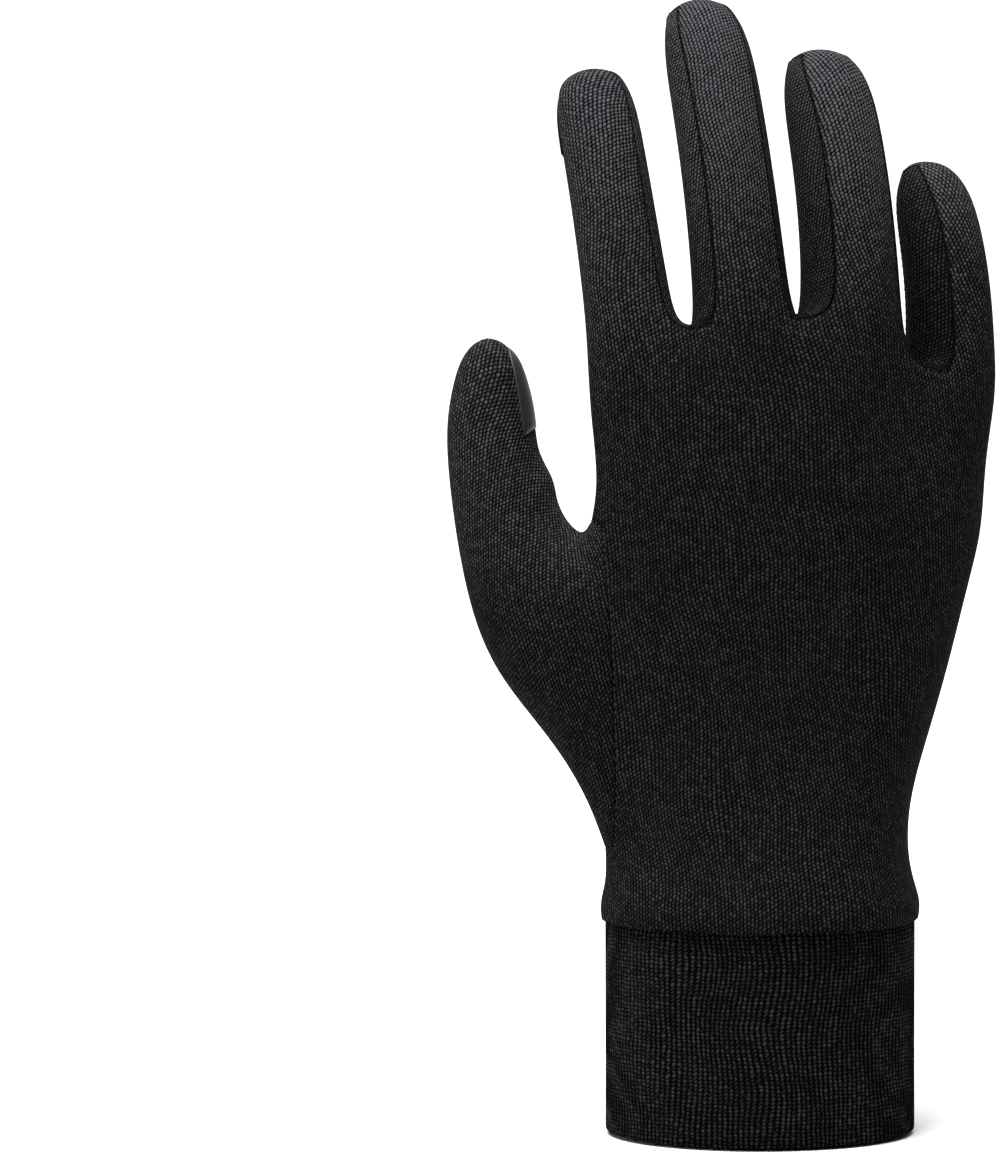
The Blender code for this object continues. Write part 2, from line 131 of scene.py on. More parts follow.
class GloveKnit(bpy.types.PropertyGroup):
    column: FloatProperty(
        name="Column", description="Width of one column of stitches", default=0.00096, subtype="DISTANCE"
    )
    row: FloatProperty(
        name="Row", description="Height of one row of stitches", default=0.00100, subtype="DISTANCE"
    )
    # The colour between stitches is the black yarn darkened further: painted shade in the hollows between
    # stitches
    dark: FloatVectorProperty(
        name="Yarn in painted shade", description="Colour between stitches", default=(0.0007, 0.0006, 0.0008), subtype="COLOR"
    )
    light: FloatVectorProperty(
        name="Glint", description="Colour of the stitches", default=(0.040, 0.037, 0.0415), subtype="COLOR"
    )


class GloveCuff(bpy.types.PropertyGroup):
    ribs: IntProperty(name="Ribs", description="Ribs round the cuff", default=158)
    rib_depth: FloatProperty(
        name="Rib depth", description="How far a rib stands proud", default=0.00018, subtype="DISTANCE"
    )
    row: FloatProperty(
        name="Row", description="Height of one row of rib stitches", default=0.00096, subtype="DISTANCE"
    )


class GloveSeams(bpy.types.PropertyGroup):
    pitch: FloatProperty(
        name="Pitch", description="From one stitch to the next", default=0.0019, subtype="DISTANCE"
    )
    inset: FloatProperty(
        name="Distance", description="From the seam to its stitches", default=0.0006, subtype="DISTANCE"
    )
    pad_thread: FloatProperty(
        name="Pad thread", description="Thickness of a pad's thread", default=0.00062, subtype="DISTANCE"
    )
    pad_inset: FloatProperty(
        name="Pad distance", description="From a pad to its stitches", default=0.0013, subtype="DISTANCE"
    )
    thread: FloatProperty(
        name="Thread", description="Thickness of the thread", default=0.00040, subtype="DISTANCE"
    )


class GloveTrim(bpy.types.PropertyGroup):
    film: FloatVectorProperty(
        name="Film", description="Colour of the pads", default=(0.0075, 0.0075, 0.0080), subtype="COLOR"
    )
    film_rise: FloatProperty(
        name="Film height", description="How far a pad stands out", default=0.00065, subtype="DISTANCE"
    )
    tab: FloatVectorProperty(
        name="Tab", description="Colour of the pull tab", default=(0.0050, 0.0050, 0.0055), subtype="COLOR"
    )


class Shading:
    """Adds nodes to a material, each placed right of the ones that it takes its values from."""

    def __init__(self, name):
        self.material = bpy.data.materials.new(name)
        self.material.use_nodes = True
        self.tree = self.material.node_tree
        self.shader = self.tree.nodes["Principled BSDF"]
        self.count = 0

    def put(self, socket, value):
        if isinstance(value, bpy.types.NodeSocket):
            self.tree.links.new(value, socket)
        else:
            socket.default_value = value

    def node(self, kind, **settings):
        made = self.tree.nodes.new(kind)
        made.location = (-1800 + 170 * (self.count % 10), -200 * (self.count // 10))
        self.count += 1
        for name, value in settings.items():
            setattr(made, name, value)
        return made

    def math(self, operation, first, second=0.0, third=0.0):
        made = self.node("ShaderNodeMath", operation=operation)
        for socket, value in zip(made.inputs, (first, second, third)):
            self.put(socket, value)
        return made.outputs[0]

    def split(self, vector):
        made = self.node("ShaderNodeSeparateXYZ")
        self.put(made.inputs[0], vector)
        return made.outputs

    def join(self, x, y):
        made = self.node("ShaderNodeCombineXYZ")
        for socket, value in zip(made.inputs, (x, y)):
            self.put(socket, value)
        return made.outputs[0]

    def object_place(self):
        return self.node("ShaderNodeTexCoord").outputs["Object"]

    def surface_place(self):
        return self.node("ShaderNodeUVMap", uv_map="weave").outputs[0]

    def noise(self, place, scale, detail=2.0):
        made = self.node("ShaderNodeTexNoise")
        self.put(made.inputs["Vector"], place)
        made.inputs["Scale"].default_value = scale
        made.inputs["Detail"].default_value = detail
        return made.outputs["Fac"]

    def chance(self, place):
        made = self.node("ShaderNodeTexWhiteNoise", noise_dimensions="2D")
        self.put(made.inputs["Vector"], place)
        return made.outputs["Value"]

    def ramp(self, value, low, high, to_low=0.0, to_high=1.0):
        made = self.node("ShaderNodeMapRange", interpolation_type="SMOOTHSTEP")
        for socket, number in zip(made.inputs, (value, low, high, to_low, to_high)):
            self.put(socket, number)
        return made.outputs[0]

    def blend(self, factor, first, second):
        made = self.node("ShaderNodeMix", data_type="RGBA")
        self.put(made.inputs["Factor"], factor)
        colours = [socket for socket in made.inputs if socket.type == "RGBA"]
        for socket, value in zip(colours, (first, second)):
            self.put(socket, value if isinstance(value, bpy.types.NodeSocket) else (*value, 1.0))
        return [socket for socket in made.outputs if socket.type == "RGBA"][0]

    def bump(self, height, distance, strength, before=None):
        made = self.node("ShaderNodeBump")
        made.inputs["Distance"].default_value = distance
        made.inputs["Strength"].default_value = strength
        self.put(made.inputs["Height"], height)
        if before is not None:
            self.put(made.inputs["Normal"], before)
        return made.outputs[0]

    def finish(self, colour, roughness, normal, specular):
        self.put(self.shader.inputs["Base Color"], colour)
        self.put(self.shader.inputs["Roughness"], roughness)
        self.put(self.shader.inputs["Normal"], normal)
        self.shader.inputs["Specular IOR Level"].default_value = specular
        return self.material


def stitch_material(
    name, column, row, colours, stagger=0.5, slant=0.35, bead=0.45, depth=0.0003, painted_light=()
):
    """Knit as rows of small rounded stitches along the piece's own weave map, some lighter than others.
    Each is painted light on its crown and dark around it: painted shade in the hollows between stitches,
    and a painted highlight on the crowns.

    Stagger is how far each column is moved against the one before it, in rows. Slant is how much a stitch
    leans, bead half its width in columns, and depth that of the bump. Painted light says how much lighter the
    cloth is painted up the index finger, and up the other ones, for the light from above on the fingertips.
    """
    dark, light = colours
    s = Shading(name)
    place = s.surface_place()
    x, y, _ = s.split(place)
    sway = s.math("MULTIPLY_ADD", s.noise(place, 330.0, 3.0), 1.5, -0.75)
    drift = s.math("MULTIPLY_ADD", s.noise(place, 28.0, 1.0), 8.0, -4.0)
    columns = s.math("ADD", s.math("DIVIDE", x, column), s.math("MULTIPLY_ADD", sway, 0.5, drift))
    number = s.math("FLOOR", columns)
    rows = s.math("ADD", s.math("DIVIDE", y, row), s.math("MULTIPLY_ADD", number, stagger, sway))
    cell = s.join(number, s.math("FLOOR", rows))
    chance = s.chance(cell)
    up = s.math("SUBTRACT", s.math("FRACT", rows), 0.5)
    across = s.math("SUBTRACT", s.math("FRACT", columns), 0.5)
    across = s.math("MULTIPLY_ADD", up, s.math("MULTIPLY_ADD", chance, slant, -slant), across)
    width = s.math("MULTIPLY_ADD", chance, 0.06, bead - 0.03)
    far_across = s.math("POWER", s.math("DIVIDE", across, width), 2.0)
    far = s.math("ADD", far_across, s.math("POWER", s.math("DIVIDE", up, 0.54), 2.0))
    height = s.math("SQRT", s.math("MAXIMUM", s.math("SUBTRACT", 1.0, far), 0.0))
    glint = s.math("MULTIPLY_ADD", s.math("POWER", chance, 1.5), 0.55, 0.33)
    patch = s.ramp(s.noise(s.object_place(), 60.0, 3.0), 0.3, 0.7, 0.82, 1.0)
    # Stitches are painted light on their crowns and dark between them: painted shade in the hollows and a
    # painted highlight on the crowns, with glint and patch varying it at random
    shine = s.math("MULTIPLY", s.math("MULTIPLY", s.math("POWER", height, 2.5), glint), patch)
    # Painted light: the stitches get lighter up the fingers, for the light from above on the fingertips
    if painted_light:
        sideways, _, upwards = s.split(s.object_place())
        index, others = (s.ramp(upwards, low, high, 1.0, most) for low, high, most in painted_light)
        over = s.math("SUBTRACT", others, index)
        painted_lift = s.math("MULTIPLY_ADD", s.ramp(sideways, *INDEX_SIDE), over, index)
        shine = s.math("MULTIPLY", shine, painted_lift)
    colour = s.blend(s.math("MINIMUM", shine, 1.0), dark, light)
    # Painted shade: the knit is painted dark along the fingers' seams, for the shade down in their grooves
    groove_shade = s.node("ShaderNodeAttribute", attribute_name="painted_seam_shade").outputs["Fac"]
    colour = s.blend(s.ramp(groove_shade, 0.90, 1.00, 0.0, 0.75), colour, dark)
    fuzz = s.noise(s.object_place(), 4200.0, 2.0)
    normal = s.bump(fuzz, 0.00010, 0.6)
    normal = s.bump(height, depth, 1.0, normal)
    return s.finish(colour, 0.9, normal, 0.02)


def film_material(name, colour, rough, specular, depth):
    """Smooth coated film with faint smears, and a fine grain of this depth."""
    s = Shading(name)
    place = s.object_place()
    smear = s.noise(place, 120.0, 3.0)
    grain = s.noise(place, 3800.0, 2.0)
    dull = tuple(channel * 0.75 for channel in colour)
    tint = s.blend(s.ramp(smear, 0.3, 0.7), colour, dull)
    normal = s.bump(grain, depth, 0.35)
    normal = s.bump(smear, 0.0004, 0.15, normal)
    return s.finish(tint, s.ramp(smear, 0.3, 0.7, rough, rough + 0.10), normal, specular)


def thread_material(name, colour):
    """Twisted sewing thread."""
    s = Shading(name)
    place = s.object_place()
    strand = s.noise(place, 2600.0, 2.0)
    tint = s.blend(strand, tuple(channel * 0.5 for channel in colour), colour)
    return s.finish(tint, 0.8, s.bump(strand, 0.00008, 0.6), 0.05)


def plain_material(name, colour, roughness):
    """A nearly even colour, for the floor."""
    s = Shading(name)
    grain = s.noise(s.object_place(), 30.0, 2.0)
    tint = s.blend(s.ramp(grain, 0.3, 0.7), colour, tuple(channel * 0.985 for channel in colour))
    return s.finish(tint, roughness, s.bump(grain, 0.0002, 0.05), 0.2)


def merged_copy(node):
    """A CAD node's mesh as a bmesh, merged, with its triangles joined back in pairs."""
    bm = bmesh.new()
    bm.from_mesh(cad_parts[node].data)
    bmesh.ops.remove_doubles(bm, verts=bm.verts, dist=1e-6)
    bmesh.ops.join_triangles(
        bm, faces=bm.faces, angle_face_threshold=math.radians(50), angle_shape_threshold=math.radians(180)
    )
    bm.normal_update()
    return bm


def new_piece(name, bm, material, nodes=()):
    """Makes an object of a bmesh, gives it its finish, and puts it in its nodes' place."""
    mesh = bpy.data.meshes.new(name)
    bm.to_mesh(mesh)
    bm.free()
    mesh.shade_smooth()
    piece = bpy.data.objects.new(name, mesh)
    bpy.context.scene.collection.objects.link(piece)
    mesh.materials.append(material)
    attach(piece, BODY)
    if nodes:
        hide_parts(*nodes)
    return piece


def crease_rims(bm):
    """Keeps the rims of a mesh from being rounded away when it's smoothed."""
    crease = bm.edges.layers.float.new("crease_edge")
    for edge in bm.edges:
        if is_rim(edge):
            edge[crease] = RIM_CREASE


def subdivide(piece):
    """Smooths a piece, as a modifier."""
    smoother = piece.modifiers.new("smooth", "SUBSURF")
    smoother.levels = smoother.render_levels = SMOOTHING
    smoother.use_limit_surface = False


def finished_surface(name):
    """The surface of a piece as its modifiers leave it, to lay stitches on."""
    return BVHTree.FromObject(bpy.data.objects[name], bpy.context.evaluated_depsgraph_get())


def groups(bm, parted):
    """Faces that hang together over edges that aren't parted, as lists with the largest area first.

    The faces are taken in the mesh's own order, so that each run gives the same lists in the same order.
    """
    taken, found = set(), []
    for start in bm.faces:
        if start in taken:
            continue
        taken.add(start)
        group, waiting = [start], [start]
        while waiting:
            face = waiting.pop()
            for edge in face.edges:
                if parted(edge):
                    continue
                for other in edge.link_faces:
                    if other not in taken:
                        taken.add(other)
                        group.append(other)
                        waiting.append(other)
        found.append(group)
    return sorted(found, key=lambda group: -sum(face.calc_area() for face in group))


def is_rim(edge):
    """Whether an edge bounds the outer or inner face of a panel."""
    return len(edge.link_faces) != 2 or edge.calc_face_angle(math.pi) > RIM_ANGLE


def back_turn(place):
    """Which way the back of the hand faces there, in degrees from -Y towards +X."""
    share = (place.z - GAP_HEIGHTS[0]) / (GAP_HEIGHTS[1] - GAP_HEIGHTS[0])
    turn = 0.0
    for low, high, finger_turn in FINGER_TURNS:
        if place.x > low + (high - low) * max(0.0, share):
            turn = finger_turn
    return turn * min(1.0, max(0.0, (place.z - TURN_START) / TURN_LENGTH))


def is_far(face):
    """Whether a strip's face looks towards the little finger."""
    return face.normal.x > 0.0


def is_palm(face):
    """Whether a face is on the palm's side of the hand, which turns from finger to finger."""
    place = face.calc_center_median()
    turn = math.radians(back_turn(place))
    return face.normal.x * -math.sin(turn) + face.normal.y * math.cos(turn) > 0.0


def at_fourchette(edge):
    """Whether an edge is up at the fingers, and not at the thumb's seam or the hem."""
    return min(vert.co.z for vert in edge.verts) > FINGERS_FROM


def lay_weave(piece, side_of):
    """Unwraps a panel and scales each part of the map to metres, with its columns of stitches running up."""
    mesh = piece.data
    bm = bmesh.new()
    bm.from_mesh(mesh)
    groove_shade = bm.verts.layers.float.new("painted_seam_shade")
    for edge in bm.edges:
        edge.seam = is_rim(edge)
        # The fingers' seams mark their points, where the knit gets painted shade
        if edge.seam and at_fourchette(edge):
            for vert in edge.verts:
                vert[groove_shade] = 1.0
        elif side_of(edge.link_faces[0]) != side_of(edge.link_faces[1]):
            edge.seam = True
    bm.to_mesh(mesh)
    bm.free()
    mesh.uv_layers.new(name="weave")
    for other in bpy.context.selected_objects:
        other.select_set(False)
    bpy.context.view_layer.objects.active = piece
    piece.select_set(True)
    bpy.ops.object.mode_set(mode="EDIT")
    bpy.ops.mesh.select_all(action="SELECT")
    bpy.ops.uv.unwrap(method="ANGLE_BASED", margin=0.0)
    bpy.ops.object.mode_set(mode="OBJECT")
    bm = bmesh.new()
    bm.from_mesh(mesh)
    uv = bm.loops.layers.uv["weave"]
    for number, group in enumerate(groups(bm, lambda edge: edge.seam)):
        upward, flat, solid = Vector((0.0, 0.0)), 0.0, 0.0
        for face in group:
            corners = [loop.vert.co for loop in face.loops]
            places = [loop[uv].uv.copy() for loop in face.loops]
            for k in range(1, len(corners) - 1):
                a, b = corners[k] - corners[0], corners[k + 1] - corners[0]
                p, q = places[k] - places[0], places[k + 1] - places[0]
                area = a.cross(b).length / 2
                solid += area
                flat += abs(p.x * q.y - p.y * q.x) / 2
                aa, bb, ab = a.dot(a), b.dot(b), a.dot(b)
                det = aa * bb - ab * ab
                if det < 1e-20:
                    continue
                share_a = (a.z * bb - b.z * ab) / det
                share_b = (b.z * aa - a.z * ab) / det
                upward += (p * share_a + q * share_b) * area
        if upward.length < 1e-12 or flat < 1e-12:
            upward, flat = Vector((0.0, 1.0)), max(flat, 1e-12)
        upward.normalize()
        upward.rotate(Matrix.Rotation(GRAIN_LEAN if len(group) > LEANING_FACES else 0.0, 2))
        scale = math.sqrt(solid / flat)
        for face in group:
            for loop in face.loops:
                at = loop[uv].uv
                across = at.x * upward.y - at.y * upward.x
                along = at.x * upward.x + at.y * upward.y
                shift_across, shift_along = (number * shift for shift in PART_SHIFT)
                loop[uv].uv = (across * scale + shift_across, along * scale + shift_along)
    bm.to_mesh(mesh)
    bm.free()


def rim_loops(group):
    """The closed borders of a group of faces, as lists of points with the direction out of the group."""
    inside = set(group)
    after = {}
    for face in group:
        for loop in face.loops:
            other = loop.link_loop_radial_next.face
            if other is face or other not in inside:
                out = (loop.vert.co + loop.link_loop_next.vert.co) / 2 - face.calc_center_median()
                after[loop.vert] = (loop.link_loop_next.vert, out.normalized(), face.normal.copy())
    found = []
    while after:
        vert = next(iter(after))
        ring = []
        while vert in after:
            following, out, normal = after.pop(vert)
            ring.append((vert.co.copy(), out, normal))
            vert = following
        found.append(ring)
    return found


def rounded(ring):
    """A closed border with a new point halfway along each side, and its corners drawn in."""
    found = []
    for before, item, after in zip(ring[-1:] + ring[:-1], ring, ring[1:] + ring[:1]):
        place = item[0] * 0.75 + (before[0] + after[0]) * 0.125
        found.append((place, item[1], item[2]))
        middle = (item[0] + after[0]) / 2
        found.append((middle, (item[1] + after[1]).normalized(), (item[2] + after[2]).normalized()))
    return found


def resample(ring, pitch):
    """Points at an even pitch along a closed border, each with its way out, its normal and its direction."""
    places = [item[0] for item in ring]
    total = sum((places[(i + 1) % len(ring)] - places[i]).length for i in range(len(ring)))
    count = max(8, round(total / pitch))
    step, found, travelled, want = total / count, [], 0.0, 0.0
    for i in range(len(ring)):
        a, b = places[i], places[(i + 1) % len(ring)]
        length = (b - a).length
        while want < travelled + length - 1e-9 and len(found) < count:
            share = (want - travelled) / length
            nearest = ring[i] if share < 0.5 else ring[(i + 1) % len(ring)]
            found.append((a.lerp(b, share), nearest[1], nearest[2], (b - a).normalized()))
            want += step
        travelled += length
    return found


class GLOVE_OT_stage(bpy.types.Operator):
    """Makes the pale floor, the soft lights and the camera"""

    bl_idname = "glove.stage"
    bl_label = "Stage"

    def execute(self, context):
        scene = context.scene
        bm = bmesh.new()
        start = [bm.verts.new((-FLOOR_HALF, y, FLOOR_DROP)) for y in (FLOOR_FRONT, FLOOR_BACK)]
        bm.edges.new(start)
        centre = (-FLOOR_HALF, FLOOR_BACK, BEND_RADIUS)
        bend = bmesh.ops.spin(bm, geom=[start[1]], cent=centre, axis=(1, 0, 0), angle=math.pi / 2, steps=24)
        last = [item for item in bend["geom_last"] if isinstance(item, bmesh.types.BMVert)][0]
        top = bm.verts.new((-FLOOR_HALF, last.co.y, WALL_TOP))
        bm.edges.new((last, top))
        swept = bmesh.ops.extrude_edge_only(bm, edges=bm.edges[:])
        moved = [item for item in swept["geom"] if isinstance(item, bmesh.types.BMVert)]
        bmesh.ops.translate(bm, verts=moved, vec=(2.0 * FLOOR_HALF, 0.0, 0.0))
        bmesh.ops.recalc_face_normals(bm, faces=bm.faces[:])
        mesh = bpy.data.meshes.new("stage_floor")
        bm.to_mesh(mesh)
        bm.free()
        mesh.shade_smooth()
        floor = bpy.data.objects.new("stage_floor", mesh)
        scene.collection.objects.link(floor)
        mesh.materials.append(plain_material("pale_floor", (0.50, 0.50, 0.50), 0.9))

        world = bpy.data.worlds.new("studio")
        world.use_nodes = True
        background = world.node_tree.nodes["Background"]
        background.inputs["Color"].default_value = (1.0, 1.0, 1.0, 1.0)
        background.inputs["Strength"].default_value = WORLD_LIGHT
        scene.world = world
        for name, place, aim, size, power in LAMPS:
            lamp = bpy.data.lights.new(name, "AREA")
            lamp.size = size
            lamp.energy = power
            holder = bpy.data.objects.new(name, lamp)
            holder.location = place
            holder.rotation_euler = (Vector(aim) - Vector(place)).to_track_quat("-Z", "Y").to_euler()
            scene.collection.objects.link(holder)

        lens = bpy.data.cameras.new("camera")
        lens.sensor_width = 36.0
        lens.lens = LENS
        lens.shift_x = SHIFT_X
        lens.shift_y = SHIFT_Y
        lens.clip_end = 20.0
        camera = bpy.data.objects.new("camera", lens)
        towards = Vector((0.0, -math.cos(LOOK_RISE), math.sin(LOOK_RISE)))
        camera.location = Vector((0.0, 0.0, LOOK_HEIGHT)) + towards * LOOK_DISTANCE
        camera.rotation_euler = (-towards).to_track_quat("-Z", "Y").to_euler()
        scene.collection.objects.link(camera)
        scene.camera = camera
        scene.view_settings.view_transform = "Standard"
        return {"FINISHED"}


def swell(place, centre, size):
    """A soft bump: one at its centre, and almost nothing at its size away from it."""
    away = sum(((place[i] - centre[i]) / size[i]) ** 2 for i in range(3))
    return math.exp(-3.0 * away)


def crumple(bm, node):
    """Gives the cloth its small unevenness: the folds under the thumb's pad, and the hem's waves."""
    pad_low, pad_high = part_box("touch_pad_thumb")
    for vert in bm.verts:
        place = vert.co.copy()
        if node == "thumb":
            for rise, size, height in FOLDS:
                centre = (pad_high[0], place.y, pad_low[2] + rise)
                vert.co.x += height * swell(place, centre, (FOLD_LENGTH, 1.0, size))
        if node == "trank" and place.z < HEM_HEIGHT + HEM_BAND:
            turn = math.atan2(place.y, place.x)
            vert.co.z += HEM_WAVE * (math.sin(5.0 * turn + 0.6) + 0.6 * math.sin(9.0 * turn + 2.0))


class GLOVE_OT_panels(bpy.types.Operator):
    """Makes the knit panels: trank, thumb and the strips between the fingers"""

    bl_idname = "glove.panels"
    bl_label = "Knit panels"

    def execute(self, context):
        knit = context.scene.glove_knit
        for node in PANELS:
            # Painted shade: a strip's stitches are painted darker where the finger next to it shades it
            light = tuple(channel * STRIP_PAINTED_SHADE.get(node, 1.0) for channel in knit.light)
            colours = (tuple(knit.dark), light)
            # Painted light up the thumb and up the fingers, for the light from above
            painted_light = (THUMB_PAINTED_LIGHT,) * 2 if node == "thumb" else (INDEX_PAINTED_LIGHT, FINGER_PAINTED_LIGHT)
            material = stitch_material(node + "_knit", knit.column, knit.row, colours, painted_light=painted_light)
            bm = merged_copy(node)
            crumple(bm, node)
            crease_rims(bm)
            piece = new_piece(node + "_knit", bm, material, [node])
            strip = node.startswith("fourchette")
            lay_weave(piece, is_far if strip else is_palm)
            subdivide(piece)
        return {"FINISHED"}


def sort_by_place(items, place_of):
    """Sorts a mesh's points or faces by where they are, since a spin leaves them in no fixed order."""
    placed = sorted(items, key=lambda item: tuple(round(value, 6) for value in place_of(item)))
    rank = {item: number for number, item in enumerate(placed)}
    items.sort(key=lambda item: rank[item])


def cuff_profile():
    """The closed section of the cuff's wall: how far out of its outer face and how high each point is."""
    half, turns = CUFF_WALL / 2, [math.radians(turn) for turn in range(-90, 91, 30)]
    foot = [(half * math.sin(turn) - half, half - half * math.cos(turn)) for turn in turns]
    outside = [(0.0, 0.0035 + (HEM_HEIGHT - 0.0045) * k / 10) for k in range(11)]
    tucked = [(-CUFF_NECK * 0.6, HEM_HEIGHT + 0.0008), (-CUFF_NECK - 0.0002, HEM_HEIGHT + 0.0022)]
    end = [(-CUFF_NECK - 0.0002, CUFF_HIGH[2]), (-CUFF_NECK - CUFF_WALL, CUFF_HIGH[2])]
    end.append((-CUFF_NECK - CUFF_WALL, HEM_HEIGHT + 0.0018))
    inner = [(grow - CUFF_WALL, up) for grow, up in reversed(outside)]
    return foot + outside + tucked + end + inner


class GLOVE_OT_cuff(bpy.types.Operator):
    """Makes the rib-knit cuff with its folded foot"""

    bl_idname = "glove.cuff"
    bl_label = "Rib cuff"

    def execute(self, context):
        cuff = context.scene.glove_cuff
        knit = context.scene.glove_knit
        steps = cuff.ribs * RIB_POINTS
        bm = bmesh.new()
        line = [bm.verts.new((grow, 0.0, up)) for grow, up in cuff_profile()]
        edges = [bm.edges.new((a, b)) for a, b in zip(line, line[1:] + line[:1])]
        for vert in line:
            vert.co.x += 1.0
        bmesh.ops.spin(
            bm,
            geom=line + edges,
            cent=(0, 0, 0),
            axis=(0, 0, 1),
            angle=math.tau,
            steps=steps,
            use_merge=True,
        )
        sort_by_place(bm.verts, lambda vert: vert.co)
        sort_by_place(bm.faces, lambda face: face.calc_center_median())
        table = even_ellipse(CUFF_HIGH[0], CUFF_HIGH[1], steps)
        weave = bm.loops.layers.uv.new("weave")
        around = sum((table[(k + 1) % steps][0] - table[k][0]).length for k in range(steps))
        wale = around / cuff.ribs
        inward = -CUFF_WALL * 0.55
        step_of = {}
        for vert in bm.verts:
            turn = math.atan2(vert.co.y, vert.co.x) % math.tau
            step = round(turn / math.tau * steps) % steps
            grow = math.hypot(vert.co.x, vert.co.y) - 1.0
            step_of[vert] = (step, grow)
            place, out = table[step]
            rib = 0.5 + 0.5 * math.cos(math.tau * step * cuff.ribs / steps)
            outer = grow > inward
            shift = (rib - 0.8) * cuff.rib_depth * (1.0 if outer else -1.0)
            if vert.co.z > HEM_HEIGHT + 0.0005:
                shift = 0.0
            at = place + out * (grow + shift)
            vert.co = Vector((at.x, at.y, vert.co.z))
        for face in bm.faces:
            steps_here = [step_of[loop.vert][0] for loop in face.loops]
            wraps = max(steps_here) - min(steps_here) > steps / 2
            for loop, step in zip(face.loops, steps_here):
                if wraps and step < steps / 2:
                    step += steps
                grow = step_of[loop.vert][1]
                up = loop.vert.co.z if grow > inward else -loop.vert.co.z
                loop[weave].uv = ((step / steps + 0.5 / cuff.ribs) * around, up)
        bmesh.ops.recalc_face_normals(bm, faces=bm.faces[:])
        colours = (tuple(knit.dark), tuple(knit.light))
        material = stitch_material(
            "cuff_rib_knit", wale, cuff.row, colours, stagger=0.0, slant=0.5, bead=0.38, depth=0.00035
        )
        piece = new_piece("cuff_rib_knit", bm, material, ["cuff"])
        return {"FINISHED"}


def even_ellipse(half_wide, half_deep, steps):
    """Points of an ellipse at an even pitch, each with its direction outwards."""
    fine = 7200
    lengths = [0.0]
    for k in range(fine):
        turn = math.tau * (k + 0.5) / fine
        lengths.append(lengths[-1] + math.hypot(half_wide * math.sin(turn), half_deep * math.cos(turn)))
    found, k = [], 0
    for step in range(steps):
        want = lengths[-1] * step / steps
        while lengths[k + 1] < want:
            k += 1
        turn = math.tau * (k + (want - lengths[k]) / (lengths[k + 1] - lengths[k])) / fine
        place = Vector((half_wide * math.cos(turn), half_deep * math.sin(turn), 0.0))
        out = Vector((math.cos(turn) / half_wide, math.sin(turn) / half_deep, 0.0)).normalized()
        found.append((place, out))
    return found


class GLOVE_OT_seams(bpy.types.Operator):
    """Makes the seams: a cord of folded cloth under each joint, and the row of stitches beside it"""

    bl_idname = "glove.seams"
    bl_label = "Seams"

    def execute(self, context):
        seams = context.scene.glove_seams
        knit = context.scene.glove_knit
        tree = finished_surface("trank_knit")
        stitches = {name: bmesh.new() for name in THREADS}
        template = bmesh.new()
        bmesh.ops.create_uvsphere(template, u_segments=6, v_segments=4, radius=0.5)
        sort_by_place(template.faces, lambda face: face.calc_center_median())
        routes = []
        for node in PANELS[1:]:
            bm = merged_copy(node)
            skin = groups(bm, is_rim)[0]
            for ring in rim_loops(skin):
                ring = rounded(rounded(ring))
                under = resample(ring, CORD_PITCH)
                routes.append([at + out * CORD_OUT - normal * CORD_DEPTH for at, out, normal, _ in under])
                for at, out, normal, along in resample(ring, seams.pitch):
                    found = tree.find_nearest(at + out * seams.inset)
                    row = stitches["thumb" if node == "thumb" else "finger"]
                    add_stitch(row, template, found[0], found[1], along, seams.pitch, seams.thread)
            bm.free()
        self.sew_pad(stitches["finger"], template, seams)
        template.free()
        for name, colour in THREADS.items():
            thread = thread_material(name + "_seam_thread", colour)
            new_piece(name + "_seam_stitches", stitches[name], thread)
        # The cord is folded cloth, and takes the dark between stitches: it is also painted shade down in the
        # seam's groove
        dark = tuple(knit.dark)
        folds = cord(routes, CORD_RADIUS)
        new_piece("seam_folds", folds, thread_material("seam_fold_cloth_and_shade", dark))
        return {"FINISHED"}

    def sew_pad(self, row, template, seams):
        """The row of stitches beside the thumb's pad, along its edge on the back of the hand."""
        pad = merged_copy("touch_pad_thumb")
        tree = finished_surface("thumb_knit")
        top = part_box("touch_pad_thumb")[1][2] - 2.0 * seams.pitch
        for ring in rim_loops(groups(pad, is_rim)[0]):
            for at, out, normal, along in resample(rounded(ring), seams.pitch):
                if normal.y < 0.0 and out.z > -0.6 and at.z < top:
                    found = tree.find_nearest(at + out * seams.pad_inset)
                    add_stitch(row, template, found[0], found[1], along, seams.pitch, seams.pad_thread)
        pad.free()


def add_stitch(bm, template, place, normal, along, pitch, thick):
    """One stitch: a short thread, thick in the middle, whose ends go into the cloth."""
    side = along.cross(normal).normalized()
    ahead = normal.cross(side).normalized()
    length = pitch * STITCH_LENGTH
    made = {}
    for vert in template.verts:
        x, y, z = vert.co
        rise = normal * (y * STITCH_FLAT - STITCH_SUNK) * thick
        made[vert] = bm.verts.new(place + ahead * z * length + side * x * thick + rise)
    for face in template.faces:
        bm.faces.new([made[vert] for vert in face.verts])


def cord(routes, radius):
    """Closed round cords along these routes, as a bmesh."""
    curve = bpy.data.curves.new("cord", "CURVE")
    curve.dimensions = "3D"
    curve.bevel_depth = radius
    curve.bevel_resolution = 1
    for route in routes:
        spline = curve.splines.new("POLY")
        spline.use_cyclic_u = True
        spline.points.add(len(route) - 1)
        for point, place in zip(spline.points, route):
            point.co = (*place, 1.0)
    holder = bpy.data.objects.new("cord", curve)
    bpy.context.scene.collection.objects.link(holder)
    bpy.context.view_layer.update()
    mesh = bpy.data.meshes.new_from_object(holder.evaluated_get(bpy.context.evaluated_depsgraph_get()))
    bm = bmesh.new()
    bm.from_mesh(mesh)
    bpy.data.objects.remove(holder)
    bpy.data.curves.remove(curve)
    bpy.data.meshes.remove(mesh)
    bmesh.ops.recalc_face_normals(bm, faces=bm.faces[:])
    return bm


